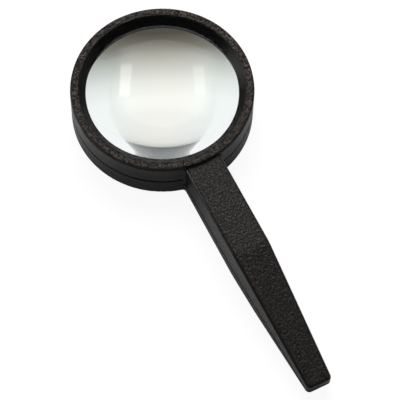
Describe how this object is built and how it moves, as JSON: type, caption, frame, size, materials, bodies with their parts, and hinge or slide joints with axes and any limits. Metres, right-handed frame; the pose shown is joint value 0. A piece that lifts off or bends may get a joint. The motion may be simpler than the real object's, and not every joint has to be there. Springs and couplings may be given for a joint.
{
  "type": "magnifying glass",
  "caption": "Hand magnifying glass: thick double-convex lens clamped by a ring in a deep round frame with a tapered hollow handle.",
  "frame": {"origin": "on the optical axis, in the plane of the rear rim", "axes": "+Z along the optical axis towards the front of the lens, handle along -Y, +X to the side"},
  "size_m": [0.072, 0.1684, 0.02],
  "materials": {
    "shell_plastic": "black moulded plastic, satin walls and leather-grained handle faces",
    "ring_plastic": "black moulded plastic with a fine spark grain",
    "lens_glass": "clear polished glass with a ground rim",
    "gasket_rubber": "soft black rubber",
    "screw_steel": "zinc-plated steel"
  },
  "bodies": {
    "root": {"front_ring": "ring_plastic", "upper_shell": "shell_plastic", "lower_shell": "shell_plastic", "lens": "lens_glass", "lens_gasket": "gasket_rubber", "handle_screws": "screw_steel"}
  },
  "joints": []
}
